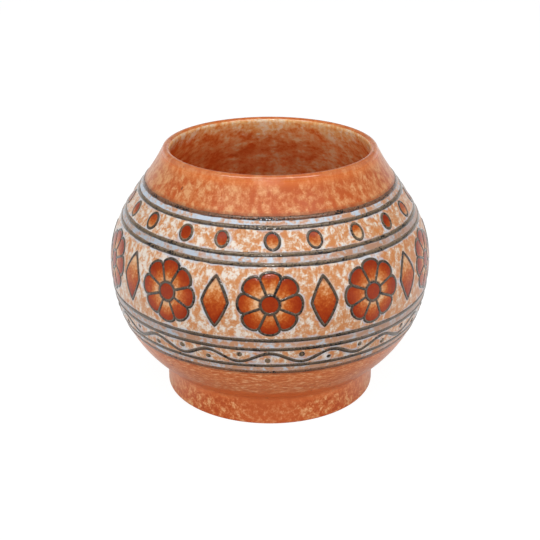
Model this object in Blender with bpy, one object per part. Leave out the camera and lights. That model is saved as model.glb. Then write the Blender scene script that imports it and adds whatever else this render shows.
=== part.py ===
"""A slip-trailed, glazed earthenware vase, in metres with +Z up.

The origin is on the vase's axis, level with the face that the foot stands on, and the front is towards -Y.
The bowl is turned in one piece, the foot is a ring luted under it, and every raised line of the decoration is
a trail of slip laid on the wall. A place on the wall is given as an angle round the axis, from the front
towards +X, and a depth, the distance down the outside of the wall from the lip.
"""

import math

import bmesh
import bpy
import numpy as np
from mathutils import Vector

# Bowl
VASE_HEIGHT = 0.1002
BELLY_RADIUS = 0.0635
BELLY_HEIGHT = 0.0542
MOUTH_RADIUS = 0.0418
LIP_THICKNESS = 0.0030
WALL_THICKNESS = 0.0042
WALL_BLEND = 0.0300
FLOOR_THICKNESS = 0.0060
FLOOR_FILLET = 0.0080

# Curve of the wall: its slope where it leaves the foot and where it meets the lip, and how full it is,
# as shares of the height between the belly's widest line and each end
FOOT_SLOPE = math.radians(44.0)
LIP_SLOPE = math.radians(64.5)
FULLNESS_AT_FOOT = 0.11
FULLNESS_BELOW_BELLY = 0.67
FULLNESS_ABOVE_BELLY = 0.44
FULLNESS_AT_LIP = 0.37

# Foot ring
FOOT_RADIUS = 0.0424
FOOT_HEIGHT = 0.0110
FOOT_WALL = 0.0062
FOOT_EDGE = 0.0009
FOOT_UNDERCUT = 0.0008

# Bands, each measured down the wall from the line above it
SHOULDER_BAND = 0.0142
SHOULDER_PAIR = 0.0034
BEAD_BAND = 0.0097
FRIEZE_TOP_PAIR = 0.0036
FRIEZE_BAND = 0.0283
FRIEZE_BASE_PAIR = 0.0039
WAVE_BAND = 0.0077
HEM_PAIR = 0.0034

# Slip trails
TRAIL_WIDTH = 0.0015
FINE_TRAIL_WIDTH = 0.0011
TRAIL_HEIGHT = 0.0007
TRAIL_CROWN = 0.0007
SEAT_GAP = 0.0003

# Motifs
BEAD_COUNT = 21
BEAD_WIDTH = 0.0060
BEAD_CLEARANCE = 0.0006
WAVE_COUNT = 17
WAVE_CLEARANCE = 0.0005
ROSETTE_COUNT = 10
PETAL_COUNT = 8
ROSETTE_CLEARANCE = 0.0010
HUB_RADIUS = 0.0034
PETAL_RISE = 0.0020
LOZENGE_CLEARANCE = 0.0030
LOZENGE_SIDE_GAP = 0.0015

# Facets
TURN_STEPS = 48
WALL_STEPS = 14
LINING_STEPS = 9
LIP_STEPS = 5
FILLET_STEPS = 3
EDGE_STEPS = 3
BEAD_STEPS = 10
WAVE_STEPS = 6
LOZENGE_STEPS = 3
CURVE_STEPS = 120
SMOOTH_ANGLE = math.radians(40.0)
MERGE_DISTANCE = 1e-6

# Glaze and slip: colour, roughness, metallic value
BODY_GLAZE = ((0.66, 0.23, 0.10, 1.0), 0.22, 0.0)
FOOT_GLAZE = ((0.51, 0.15, 0.055, 1.0), 0.28, 0.0)
BAND_SLIP = ((0.12, 0.095, 0.075, 1.0), 0.30, 0.0)
MOTIF_SLIP = ((0.14, 0.09, 0.065, 1.0), 0.30, 0.0)


def clear_scene():
    for obj in list(bpy.data.objects):
        bpy.data.objects.remove(obj, do_unlink=True)


def bezier(start, start_handle, end_handle, end, steps):
    """Points on a cubic curve, as rows of radius and height."""
    t = np.linspace(0.0, 1.0, steps + 1)[:, None]
    s = 1.0 - t
    corners = [np.array(p) for p in (start, start_handle, end_handle, end)]
    return s**3 * corners[0] + 3 * s * s * t * corners[1] + 3 * s * t * t * corners[2] + t**3 * corners[3]


def run_length(points):
    """The distance of each point from the first one, along the line."""
    steps = np.linalg.norm(np.diff(points, axis=0), axis=1)
    return np.concatenate([[0.0], np.cumsum(steps)])


def resample(points, steps):
    """The same line in equal steps."""
    length = run_length(points)
    even = np.linspace(0.0, length[-1], steps + 1)
    return np.column_stack([np.interp(even, length, points[:, i]) for i in (0, 1)])


def wall_outline():
    """The outside of the wall, from the lip down to the seat of the foot."""
    lip = np.array([MOUTH_RADIUS, VASE_HEIGHT - LIP_THICKNESS / 2 * (1 - math.cos(LIP_SLOPE))])
    belly = np.array([BELLY_RADIUS, BELLY_HEIGHT])
    seat = np.array([FOOT_RADIUS, FOOT_HEIGHT + SEAT_GAP])
    above = lip[1] - belly[1]
    below = belly[1] - seat[1]
    lip_handle = lip + FULLNESS_AT_LIP * above * np.array([math.cos(LIP_SLOPE), -math.sin(LIP_SLOPE)])
    high_handle = belly + [0.0, FULLNESS_ABOVE_BELLY * above]
    low_handle = belly - [0.0, FULLNESS_BELOW_BELLY * below]
    seat_handle = seat + FULLNESS_AT_FOOT * below * np.array([math.cos(FOOT_SLOPE), math.sin(FOOT_SLOPE)])
    upper = bezier(lip, lip_handle, high_handle, belly, CURVE_STEPS)
    lower = bezier(belly, low_handle, seat_handle, seat, CURVE_STEPS)
    return np.concatenate([upper, lower[1:]])


WALL = wall_outline()
WALL_DEPTH = run_length(WALL)
WALL_TANGENT = np.gradient(WALL, WALL_DEPTH, axis=0)


def wall_at(depth):
    """Radius, height and outward normal of the wall at a depth below the lip."""
    radius, height = (np.interp(depth, WALL_DEPTH, WALL[:, i]) for i in (0, 1))
    along, up = (np.interp(depth, WALL_DEPTH, WALL_TANGENT[:, i]) for i in (0, 1))
    size = math.hypot(along, up)
    return radius, height, -up / size, along / size


def on_wall(angle, depth, lift):
    """The point that stands off the wall by lift."""
    radius, height, out, rise = wall_at(depth)
    reach = radius + out * lift
    return Vector((reach * math.sin(angle), -reach * math.cos(angle), height + rise * lift))


def lining_outline():
    """The inside of the wall, from the lip down to the floor's fillet."""
    floor = FOOT_HEIGHT + SEAT_GAP + FLOOR_THICKNESS
    points = []
    for depth in WALL_DEPTH:
        radius, height, out, rise = wall_at(depth)
        thickness = np.interp(depth, [0.0, WALL_BLEND], [LIP_THICKNESS, WALL_THICKNESS])
        point = (radius - out * thickness, height - rise * thickness)
        if point[1] < floor + FLOOR_FILLET / 2:
            break
        points.append(point)
    return resample(np.array(points), LINING_STEPS)


def floor_fillet(lining):
    """The rounded corner between the lining and the flat floor."""
    floor = FOOT_HEIGHT + SEAT_GAP + FLOOR_THICKNESS
    end = lining[-1]
    direction = lining[-1] - lining[-2]
    corner = end + direction * (floor - end[1]) / direction[1]
    flat = corner - [FLOOR_FILLET, 0.0]
    return bezier(end, (end + 2 * corner) / 3, (flat + 2 * corner) / 3, flat, FILLET_STEPS)


def lip_round():
    """The half circle over the lip, from the lining to the outside of the wall."""
    radius, height, out, rise = wall_at(0.0)
    half = LIP_THICKNESS / 2
    points = []
    for step in range(1, LIP_STEPS):
        turn = math.pi * (1 - step / LIP_STEPS)
        outward = half * (math.cos(turn) - 1)
        upward = half * math.sin(turn)
        points.append((radius + out * outward - rise * upward, height + rise * outward + out * upward))
    return points


def material(name, finish):
    colour, roughness, metallic = finish
    made = bpy.data.materials.new(name)
    made.use_nodes = True
    shader = made.node_tree.nodes["Principled BSDF"]
    shader.inputs["Base Color"].default_value = colour
    shader.inputs["Roughness"].default_value = roughness
    shader.inputs["Metallic"].default_value = metallic
    made.diffuse_color = colour
    return made


def finished_mesh(name, bm):
    """Closes seams and poles, turns the faces out and makes the mesh."""
    bmesh.ops.remove_doubles(bm, verts=bm.verts, dist=MERGE_DISTANCE)
    bmesh.ops.recalc_face_normals(bm, faces=bm.faces)
    mesh = bpy.data.meshes.new(name)
    bm.to_mesh(mesh)
    bm.free()
    mesh.shade_smooth()
    mesh.set_sharp_from_angle(angle=SMOOTH_ANGLE)
    return mesh


def place(name, mesh, surface, parent, angle=0.0):
    obj = bpy.data.objects.new(name, mesh)
    if not mesh.materials:
        mesh.materials.append(surface)
    obj.rotation_euler.z = angle
    obj.parent = parent
    bpy.context.scene.collection.objects.link(obj)
    return obj


def turned(name, profile, closed):
    """Spins a profile of radius and height round the axis."""
    bm = bmesh.new()
    verts = [bm.verts.new((radius, 0.0, height)) for radius, height in profile]
    edges = [bm.edges.new(pair) for pair in zip(verts, verts[1:])]
    if closed:
        edges.append(bm.edges.new((verts[-1], verts[0])))
    bmesh.ops.spin(
        bm,
        geom=verts + edges,
        cent=(0, 0, 0),
        axis=(0, 0, 1),
        angle=2 * math.pi,
        steps=TURN_STEPS,
        use_merge=True,
    )
    return finished_mesh(name, bm)


def bowl_mesh():
    lining = lining_outline()
    fillet = floor_fillet(lining)
    profile = [(0.0, fillet[-1][1])]
    profile += list(fillet[::-1])
    profile += list(lining[-2::-1])
    profile += lip_round()
    profile += list(resample(WALL, WALL_STEPS))
    profile.append((0.0, FOOT_HEIGHT + SEAT_GAP))
    return turned("vase_body", profile, closed=False)


def foot_mesh():
    inner = FOOT_RADIUS - FOOT_WALL
    profile = [(FOOT_RADIUS, FOOT_HEIGHT)]
    for step in range(EDGE_STEPS + 1):
        turn = math.pi / 2 * step / EDGE_STEPS
        profile.append(
            (FOOT_RADIUS - FOOT_EDGE * (1 - math.cos(turn)), FOOT_EDGE * (1 - math.sin(turn)))
        )
    profile.append((inner + FOOT_EDGE, 0.0))
    profile.append((inner, FOOT_EDGE))
    profile.append((inner - FOOT_UNDERCUT, FOOT_HEIGHT))
    return turned("foot_ring", profile, closed=True)


def trail_mesh(name, path, width, turn):
    """A closed trail of slip along a path of (angle, depth); turn is the angle that one lap gains."""
    radii = [wall_at(depth)[0] for _, depth in path]
    count = len(path)
    rings = []
    bm = bmesh.new()
    for i in range(count):
        before = path[i - 1] - np.array([turn if i == 0 else 0.0, 0.0])
        after = path[(i + 1) % count] + np.array([turn if i == count - 1 else 0.0, 0.0])
        scale = np.array([radii[i], 1.0])
        arriving = (path[i] - before) * scale
        leaving = (after - path[i]) * scale
        arriving = arriving / np.linalg.norm(arriving)
        leaving = leaving / np.linalg.norm(leaving)
        along = (arriving + leaving) / np.linalg.norm(arriving + leaving)
        mitre = 1.0 / float(along @ leaving)
        side = np.array([-along[1], along[0]]) * mitre / scale
        section = ((-width / 2, 0.0), (-TRAIL_CROWN / 2, TRAIL_HEIGHT))
        section += tuple((-offset, lift) for offset, lift in section[::-1])
        ring = []
        for offset, lift in section:
            spot = path[i] + side * offset
            ring.append(bm.verts.new(on_wall(spot[0], spot[1], SEAT_GAP + lift)))
        rings.append(ring)
    for ring, following in zip(rings, rings[1:] + rings[:1]):
        for i in range(len(ring)):
            j = (i + 1) % len(ring)
            bm.faces.new((ring[i], ring[j], following[j], following[i]))
    return finished_mesh(name, bm)


def band_path(depth):
    angles = np.linspace(0.0, 2 * math.pi, TURN_STEPS, endpoint=False)
    # The spun bowl starts at +X, so the trail's corners are set on the same meridians
    return [np.array([math.pi / 2 + angle, depth]) for angle in angles]


def wave_path(depth, height):
    count = WAVE_COUNT * WAVE_STEPS
    path = []
    for step in range(count):
        angle = 2 * math.pi * step / count
        path.append(np.array([angle, depth - height / 2 * math.cos(WAVE_COUNT * angle)]))
    return path


def bead_path(depth, width, height):
    radius = wall_at(depth)[0]
    turns = np.linspace(0.0, 2 * math.pi, BEAD_STEPS, endpoint=False)
    return [
        np.array([width / 2 * math.sin(turn) / radius, depth - height / 2 * math.cos(turn)])
        for turn in turns
    ]


def lozenge_path(depth, width, height):
    radius = wall_at(depth)[0]
    corners = np.array(((0.0, -height / 2), (width / 2, 0.0), (0.0, height / 2), (-width / 2, 0.0)))
    path = []
    for start, end in zip(corners, np.roll(corners, -1, axis=0)):
        for step in range(LOZENGE_STEPS):
            across, down = start + (end - start) * step / LOZENGE_STEPS
            path.append(np.array([across / radius, depth + down]))
    return path


def petal_cell(index, radius):
    """Corners of one petal, round from the hub, with the width of line inside each side.

    The middle third of the petal reaches the full radius, and its shoulders fall to the valleys.
    """
    half = math.pi / PETAL_COUNT
    tip = half / 3
    middle = 2 * half * index
    valley = radius - PETAL_RISE
    polar = (
        (HUB_RADIUS, -half, FINE_TRAIL_WIDTH / 2),
        (valley, -half, FINE_TRAIL_WIDTH),
        (radius, -tip, FINE_TRAIL_WIDTH),
        (radius, tip, FINE_TRAIL_WIDTH),
        (valley, half, FINE_TRAIL_WIDTH / 2),
        (HUB_RADIUS, half, FINE_TRAIL_WIDTH / 2),
    )
    corners = [(r * math.sin(middle + turn), r * math.cos(middle + turn)) for r, turn, _ in polar]
    return np.array(corners), [inside for _, _, inside in polar]


def hub_cell():
    half = math.pi / PETAL_COUNT
    turns = [half * (2 * index - 1) for index in range(PETAL_COUNT)]
    corners = [(HUB_RADIUS * math.sin(turn), HUB_RADIUS * math.cos(turn)) for turn in turns]
    return np.array(corners), [FINE_TRAIL_WIDTH / 2] * PETAL_COUNT


def inset_corners(corners, insets):
    """Each side of a clockwise or anticlockwise outline moved inwards by its own distance."""
    count = len(corners)
    following = np.roll(corners, -1, axis=0)
    along = following - corners
    along /= np.linalg.norm(along, axis=1)[:, None]
    inward = np.column_stack([-along[:, 1], along[:, 0]])
    if ((corners.mean(axis=0) - corners[0]) @ inward[0]) < 0:
        inward = -inward
    moved = []
    for i in range(count):
        sides = np.array([inward[i - 1], inward[i]])
        reach = [insets[i - 1], insets[i]]
        moved.append(corners[i] + np.linalg.solve(sides, reach))
    return moved


def rosette_mesh(depth, radius):
    """A flat tracery of hub and petals, given its thickness and then wrapped onto the wall."""
    bm = bmesh.new()
    cells = [hub_cell()] + [petal_cell(index, radius) for index in range(PETAL_COUNT)]
    for corners, insets in cells:
        outer = [bm.verts.new((x, y, 0.0)) for x, y in corners]
        inner = [bm.verts.new((x, y, 0.0)) for x, y in inset_corners(corners, insets)]
        for i in range(len(outer)):
            j = (i + 1) % len(outer)
            bm.faces.new((outer[i], outer[j], inner[j], inner[i]))
    bmesh.ops.remove_doubles(bm, verts=bm.verts, dist=MERGE_DISTANCE)
    bmesh.ops.recalc_face_normals(bm, faces=bm.faces)
    raised = bmesh.ops.extrude_face_region(bm, geom=bm.faces[:], use_keep_orig=True)
    tops = [item for item in raised["geom"] if isinstance(item, bmesh.types.BMVert)]
    bmesh.ops.translate(bm, verts=tops, vec=(0.0, 0.0, TRAIL_HEIGHT))
    for vert in bm.verts:
        down = depth - vert.co.y
        angle = vert.co.x / wall_at(down)[0]
        vert.co = on_wall(angle, down, SEAT_GAP + vert.co.z)
    return finished_mesh("rosette_outline", bm)


def build():
    clear_scene()
    vase = bpy.data.objects.new("vase", None)
    bpy.context.scene.collection.objects.link(vase)
    body_glaze = material("orange_mottled_glaze", BODY_GLAZE)
    foot_glaze = material("deep_orange_glaze", FOOT_GLAZE)
    band_slip = material("brown_band_slip", BAND_SLIP)
    motif_slip = material("brown_motif_slip", MOTIF_SLIP)

    place("vase_body", bowl_mesh(), body_glaze, vase)
    place("foot_ring", foot_mesh(), foot_glaze, vase)

    steps = (
        ("shoulder_line_upper", SHOULDER_BAND),
        ("shoulder_line_lower", SHOULDER_PAIR),
        ("frieze_top_line_upper", BEAD_BAND),
        ("frieze_top_line_lower", FRIEZE_TOP_PAIR),
        ("frieze_base_line_upper", FRIEZE_BAND),
        ("frieze_base_line_lower", FRIEZE_BASE_PAIR),
        ("hem_line_upper", WAVE_BAND),
        ("hem_line_lower", HEM_PAIR),
    )
    depth = 0.0
    line_depth = {}
    for name, step in steps:
        depth += step
        line_depth[name] = depth
        line = trail_mesh(name, band_path(depth), TRAIL_WIDTH, 2 * math.pi)
        place(name, line, band_slip, vase)

    wave_depth = (line_depth["frieze_base_line_lower"] + line_depth["hem_line_upper"]) / 2
    wave_height = WAVE_BAND - TRAIL_WIDTH - FINE_TRAIL_WIDTH - 2 * WAVE_CLEARANCE
    wave = trail_mesh("wave_line", wave_path(wave_depth, wave_height), FINE_TRAIL_WIDTH, 2 * math.pi)
    place("wave_line", wave, band_slip, vase)

    bead_depth = (line_depth["shoulder_line_lower"] + line_depth["frieze_top_line_upper"]) / 2
    bead_height = BEAD_BAND - TRAIL_WIDTH - FINE_TRAIL_WIDTH - 2 * BEAD_CLEARANCE
    bead_across = BEAD_WIDTH - FINE_TRAIL_WIDTH
    bead = trail_mesh("bead_outline", bead_path(bead_depth, bead_across, bead_height), FINE_TRAIL_WIDTH, 0.0)
    for index in range(BEAD_COUNT):
        place(f"bead_outline_{index + 1:02d}", bead, motif_slip, vase, 2 * math.pi * index / BEAD_COUNT)

    frieze_depth = (line_depth["frieze_top_line_lower"] + line_depth["frieze_base_line_upper"]) / 2
    rosette_radius = (FRIEZE_BAND - TRAIL_WIDTH) / 2 - ROSETTE_CLEARANCE
    rosette = rosette_mesh(frieze_depth, rosette_radius)
    pitch = 2 * math.pi / ROSETTE_COUNT
    lozenge_height = FRIEZE_BAND - TRAIL_WIDTH - 2 * LOZENGE_CLEARANCE
    lozenge_width = wall_at(frieze_depth)[0] * pitch - 2 * rosette_radius - 2 * LOZENGE_SIDE_GAP
    lozenge = trail_mesh(
        "lozenge_outline",
        lozenge_path(frieze_depth, lozenge_width - FINE_TRAIL_WIDTH, lozenge_height - FINE_TRAIL_WIDTH),
        FINE_TRAIL_WIDTH,
        0.0,
    )
    for index in range(ROSETTE_COUNT):
        place(f"rosette_outline_{index + 1:02d}", rosette, motif_slip, vase, pitch * index)
        place(f"lozenge_outline_{index + 1:02d}", lozenge, motif_slip, vase, pitch * (index + 0.5))


build()
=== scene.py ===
# %% [markdown]
# # A slip-trailed earthenware vase
# The vase is a squat bowl on a ring foot. Its maker drew every line with liquid clay, called slip,
# squeezed from a nozzle, and filled the cells between the lines with sponged colour and rust enamel
# under a clear glaze. This lesson dresses the plain solids of the vase: each step makes one layer of the
# real pot and paints it with procedural materials. The slip comes before the bowl, because the bowl's
# glaze has to know where the slip lies.

import math
import random

import bmesh
import bpy
import numpy as np
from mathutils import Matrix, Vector
from mathutils.bvhtree import BVHTree


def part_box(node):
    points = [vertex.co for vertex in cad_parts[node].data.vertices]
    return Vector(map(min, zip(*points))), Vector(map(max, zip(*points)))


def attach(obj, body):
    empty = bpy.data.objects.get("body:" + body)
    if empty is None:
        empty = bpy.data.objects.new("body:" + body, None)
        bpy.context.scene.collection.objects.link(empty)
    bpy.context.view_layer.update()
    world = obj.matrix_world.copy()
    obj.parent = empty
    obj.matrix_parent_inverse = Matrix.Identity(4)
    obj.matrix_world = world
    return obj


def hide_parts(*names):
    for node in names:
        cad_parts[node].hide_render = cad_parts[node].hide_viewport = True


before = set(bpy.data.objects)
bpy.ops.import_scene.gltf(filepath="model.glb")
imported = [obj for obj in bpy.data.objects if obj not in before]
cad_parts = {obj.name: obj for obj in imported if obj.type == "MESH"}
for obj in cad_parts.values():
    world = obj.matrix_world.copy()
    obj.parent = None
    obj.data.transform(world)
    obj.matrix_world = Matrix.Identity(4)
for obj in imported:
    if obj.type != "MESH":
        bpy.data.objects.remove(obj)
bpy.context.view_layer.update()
scene = bpy.context.scene
scene.view_settings.view_transform = "Standard"
print("solids in the frame:", len(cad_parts))

# %% [markdown]
# ## The curve of the wall
# Everything on this pot follows one line: the outside of the wall, from the lip to the foot. The height,
# the belly and the foot are read from the frame's boxes, and the other sizes of the bowl are named here.
# The line could be a list of points. Two cubic curves that meet at the widest line of the belly say the
# same with a few sizes, and stay smooth however finely they are divided.

# %% Sizes of the bowl and its outline
MM = 0.001
body_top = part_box("vase_body")[1]
foot_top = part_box("foot_ring")[1]
VASE_HEIGHT = body_top.z
BELLY_RADIUS = body_top.x
FOOT_RADIUS = foot_top.x
FOOT_HEIGHT = foot_top.z
BELLY_HEIGHT = 54.2 * MM
MOUTH_RADIUS = 41.8 * MM
LIP_THICKNESS = 3.0 * MM
FOOT_SLOPE = math.radians(44.0)
LIP_SLOPE = math.radians(64.5)
FULLNESS_AT_FOOT = 0.11
FULLNESS_BELOW_BELLY = 0.67
FULLNESS_ABOVE_BELLY = 0.44
FULLNESS_AT_LIP = 0.37
CURVE_STEPS = 200


def bezier(start, start_handle, end_handle, end, steps):
    """Points on a cubic curve, as rows of radius and height."""
    t = np.linspace(0.0, 1.0, steps + 1)[:, None]
    s = 1.0 - t
    a, b, c, d = (np.array(point) for point in (start, start_handle, end_handle, end))
    return s**3 * a + 3 * s * s * t * b + 3 * s * t * t * c + t**3 * d


def wall_outline():
    """The outside of the wall, from the lip down to the foot."""
    lip = np.array([MOUTH_RADIUS, VASE_HEIGHT - LIP_THICKNESS / 2 * (1 - math.cos(LIP_SLOPE))])
    belly = np.array([BELLY_RADIUS, BELLY_HEIGHT])
    seat = np.array([FOOT_RADIUS, FOOT_HEIGHT])
    above = lip[1] - belly[1]
    below = belly[1] - seat[1]
    lip_handle = lip + FULLNESS_AT_LIP * above * np.array([math.cos(LIP_SLOPE), -math.sin(LIP_SLOPE)])
    high_handle = belly + [0.0, FULLNESS_ABOVE_BELLY * above]
    low_handle = belly - [0.0, FULLNESS_BELOW_BELLY * below]
    seat_handle = seat + FULLNESS_AT_FOOT * below * np.array([math.cos(FOOT_SLOPE), math.sin(FOOT_SLOPE)])
    upper = bezier(lip, lip_handle, high_handle, belly, CURVE_STEPS)
    lower = bezier(belly, low_handle, seat_handle, seat, CURVE_STEPS)
    return np.concatenate([upper, lower[1:]])


WALL = wall_outline()
print("wall outline points:", len(WALL))

# %% [markdown]
# ## A place on the wall
# A place on the wall is an angle round the axis, from the front towards +X, and a depth, the distance
# down the wall from the lip. Working in these two numbers, a drawing keeps its true size wherever it
# lies on the pot. `on_wall` turns them into a point in space, lifted off the wall along its normal.

# %% Places on the wall


def run_length(points):
    """Distance along a row of points, from the first."""
    return np.concatenate([[0.0], np.cumsum(np.linalg.norm(np.diff(points, axis=0), axis=1))])


WALL_DEPTH = run_length(WALL)
WALL_TABLE = np.column_stack([WALL, np.gradient(WALL, WALL_DEPTH, axis=0)])


def wall_at(depth):
    """Radius, height and outward normal of the wall at depths below the lip."""
    radius, height, along, up = (np.interp(depth, WALL_DEPTH, column) for column in WALL_TABLE.T)
    size = np.hypot(along, up)
    return radius, height, -up / size, along / size


def on_wall(angle, depth, lift):
    """The points that stand off the wall by lift."""
    radius, height, out, rise = wall_at(depth)
    reach = radius + out * lift
    return np.stack([reach * np.sin(angle), -reach * np.cos(angle), height + rise * lift], axis=-1)


print("wall length %.1f mm" % (WALL_DEPTH[-1] / MM))

# %% [markdown]
# ## Where the lines run
# Eight lines circle the pot in four pairs. Their solids in the frame say where: the middle height of
# each ring's box, less what the ring stands off the wall, gives the depth of the line that replaces it.
# Eight depths could be typed in, but they would stay behind when the part changes.

# %% Depths of the eight lines
CAD_LIFT = 0.65 * MM
BAND_LINES = (
    "shoulder_line_upper",
    "shoulder_line_lower",
    "frieze_top_line_upper",
    "frieze_top_line_lower",
    "frieze_base_line_upper",
    "frieze_base_line_lower",
    "hem_line_upper",
    "hem_line_lower",
)


def line_depth(node):
    """The depth of the wall under a ring of the frame."""
    low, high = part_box(node)
    heights = on_wall(0.0, WALL_DEPTH, CAD_LIFT)[:, 2]
    return float(np.interp(-(low.z + high.z) / 2, -heights, WALL_DEPTH))


DEPTH = {name: line_depth(name) for name in BAND_LINES}
LINE_HEIGHT = {name: float(wall_at(depth)[1]) for name, depth in DEPTH.items()}
print("line heights in mm:", [round(height / MM, 1) for height in LINE_HEIGHT.values()])

# %% [markdown]
# ## Paint box
# Ceramic colour is never flat: it is sponged, brushed and run. A material could be wired by hand in the
# node editor, but a pot has many, so a few helpers keep the node code short. `srgb` gives a colour as
# the eye names it, `add` makes a node and fills its sockets by name, and `calc` is one sum.

# %% Helpers for nodes


def srgb(red, green, blue):
    """A colour as the eye names it, from 0 to 255, in the linear values that shaders use."""
    linear = []
    for level in (red, green, blue):
        share = level / 255.0
        linear.append(share / 12.92 if share <= 0.04045 else ((share + 0.055) / 1.055) ** 2.4)
    return (*linear, 1.0)


def grey(level):
    return (level, level, level, 1.0)


def fill(tree, socket, value):
    if isinstance(value, bpy.types.NodeSocket):
        tree.links.new(value, socket)
    else:
        socket.default_value = value


def add(tree, kind, settings=(), **sockets):
    node = tree.nodes.new(kind)
    for name, value in dict(settings).items():
        setattr(node, name, value)
    for name, value in sockets.items():
        fill(tree, node.inputs[name.replace("_", " ")], value)
    return node


def calc(tree, operation, *values):
    node = tree.nodes.new("ShaderNodeMath")
    node.operation = operation
    for socket, value in zip(node.inputs, values):
        fill(tree, socket, value)
    return node.outputs[0]


print("mid grey is %.3f in a shader" % srgb(128, 128, 128)[0])

# %% [markdown]
# ## Mixing
# Glazes mix where their coats overlap, and these helpers do the same with values and colours.
# `mix_values` weighs several values into one, `blend` mixes two colours, `between` is a smooth step from
# one level to another, and `ramp` lays tints along a value. Each could be a node group, but a plain
# function is shorter to read.

# %% Helpers for mixing


def mix_values(tree, *parts):
    """The weighted sum of several values, given as (weight, value)."""
    total = calc(tree, "MULTIPLY", parts[0][1], parts[0][0])
    for weight, value in parts[1:]:
        total = calc(tree, "MULTIPLY_ADD", value, weight, total)
    return total


def blend(tree, amount, first, second):
    node = tree.nodes.new("ShaderNodeMix")
    node.data_type = "RGBA"
    for index, value in ((0, amount), (6, first), (7, second)):
        fill(tree, node.inputs[index], value)
    return node.outputs[2]


def between(tree, value, low, high, start=0.0, end=1.0):
    """A smooth step from start to end as value goes from low to high."""
    node = add(tree, "ShaderNodeMapRange", {"interpolation_type": "SMOOTHSTEP"}, Value=value)
    for name, number in (("From Min", low), ("From Max", high), ("To Min", start), ("To Max", end)):
        fill(tree, node.inputs[name], number)
    return node.outputs["Result"]


def ramp(tree, value, *stops, steps=False):
    """Colours along a value, given as (place, colour); steps leaves hard changes between them."""
    node = add(tree, "ShaderNodeValToRGB", Fac=value)
    node.color_ramp.interpolation = "CONSTANT" if steps else "LINEAR"
    while len(node.color_ramp.elements) < len(stops):
        node.color_ramp.elements.new(1.0)
    for element, (place, colour) in zip(node.color_ramp.elements, stops):
        element.position = place
        element.color = colour
    return node.outputs["Color"]


print("mixing helpers:", [helper.__name__ for helper in (mix_values, blend, between, ramp)])

# %% [markdown]
# ## Sponge and glaze
# A potter's sponge leaves spots of many sizes, which noise draws well. The noise reads the pot's own
# coordinates, so it stays put when the camera moves. Every finish starts as the same thing, a glossy
# skin that is a little uneven: slow waves where the glaze ran, and a fine grain where it bubbled.

# %% Noise, attributes and a new glaze
GRAIN_SCALE = 2400.0


def sponge(tree, scale, detail=3.0, roughness=0.6, stretch=(1.0, 1.0, 1.0), distortion=0.0, shift=0.0):
    """Noise on the pot's own coordinates, in spots of about 1 / scale metres."""
    place = add(tree, "ShaderNodeTexCoord").outputs["Object"]
    mapping = add(tree, "ShaderNodeMapping", Vector=place, Scale=stretch, Location=(shift, shift, shift))
    noise = add(
        tree,
        "ShaderNodeTexNoise",
        Vector=mapping.outputs[0],
        Scale=scale,
        Detail=detail,
        Roughness=roughness,
        Distortion=distortion,
    )
    return noise.outputs["Fac"]


def attribute(tree, name):
    return add(tree, "ShaderNodeAttribute", {"attribute_name": name}).outputs["Fac"]


def share_along(tree, axis, size):
    """How far along an axis of the pot a point is, as a share of a size."""
    place = add(tree, "ShaderNodeTexCoord").outputs["Object"]
    split = add(tree, "ShaderNodeSeparateXYZ", Vector=place)
    return calc(tree, "DIVIDE", split.outputs[axis], size)


def height_share(tree):
    """How far up the pot a point is, from 0 at the table to 1 at the lip."""
    return share_along(tree, "Z", VASE_HEIGHT)


def new_finish(name, roughness, ripple, grain, gloss=0.35, waves=220.0):
    """A glazed material; ripple and grain are the heights of slow and fine unevenness of its skin."""
    made = bpy.data.materials.new(name)
    made.use_nodes = True
    tree = made.node_tree
    shader = tree.nodes["Principled BSDF"]
    shader.inputs["Roughness"].default_value = roughness
    shader.inputs["Specular IOR Level"].default_value = gloss
    slow = add(tree, "ShaderNodeBump", Height=sponge(tree, waves, detail=1.0), Distance=ripple)
    fine = add(tree, "ShaderNodeBump", Height=sponge(tree, GRAIN_SCALE, detail=1.0), Distance=grain)
    tree.links.new(slow.outputs[0], fine.inputs["Normal"])
    tree.links.new(fine.outputs[0], shader.inputs["Normal"])
    return made, tree, shader


print("grain of the glaze: about %.1f mm" % (1.0 / GRAIN_SCALE / MM))

# %% [markdown]
# ## Camera and lamps
# The camera stands just under half a metre from the pot, above it, and looks down through a long lens,
# so the mouth is a shallow ellipse. A wide strip under the ceiling draws the bright line along the lip.
# One small lamp, above and behind the camera, gives the glints on the slip lines. Two low panels on
# either side light the lower belly and the back of the lining; they are left out of reflections, which
# would show them as squares.

# %% Camera and lamps
CAMERA_PLACE = (0.0, -0.4150, 0.2205)
CAMERA_TILT = math.radians(90.0 - 22.0)
CAMERA_LENS = 73.75
CAMERA_SHIFT = -0.0250
LAMP_AIM = Vector((0.0, 0.0, 0.07))
# Name, place, width, height, power and whether reflections show it
LAMPS = (
    ("lamp", (-0.035, -0.95, 0.61), 0.10, 0.06, 1.4, True),
    ("ceiling_strip", (0.0, -0.62, 1.05), 2.00, 0.20, 4.4, True),
    ("left_panel", (-0.91, -0.73, 0.32), 1.20, 0.55, 4.9, False),
    ("right_panel", (0.91, -0.73, 0.32), 1.20, 0.55, 4.9, False),
)


def make_camera():
    data = bpy.data.cameras.new("photo_camera")
    data.lens = CAMERA_LENS
    data.shift_y = CAMERA_SHIFT
    camera = bpy.data.objects.new("photo_camera", data)
    camera.location = CAMERA_PLACE
    camera.rotation_euler = (CAMERA_TILT, 0.0, 0.0)
    scene.collection.objects.link(camera)
    scene.camera = camera


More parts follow.
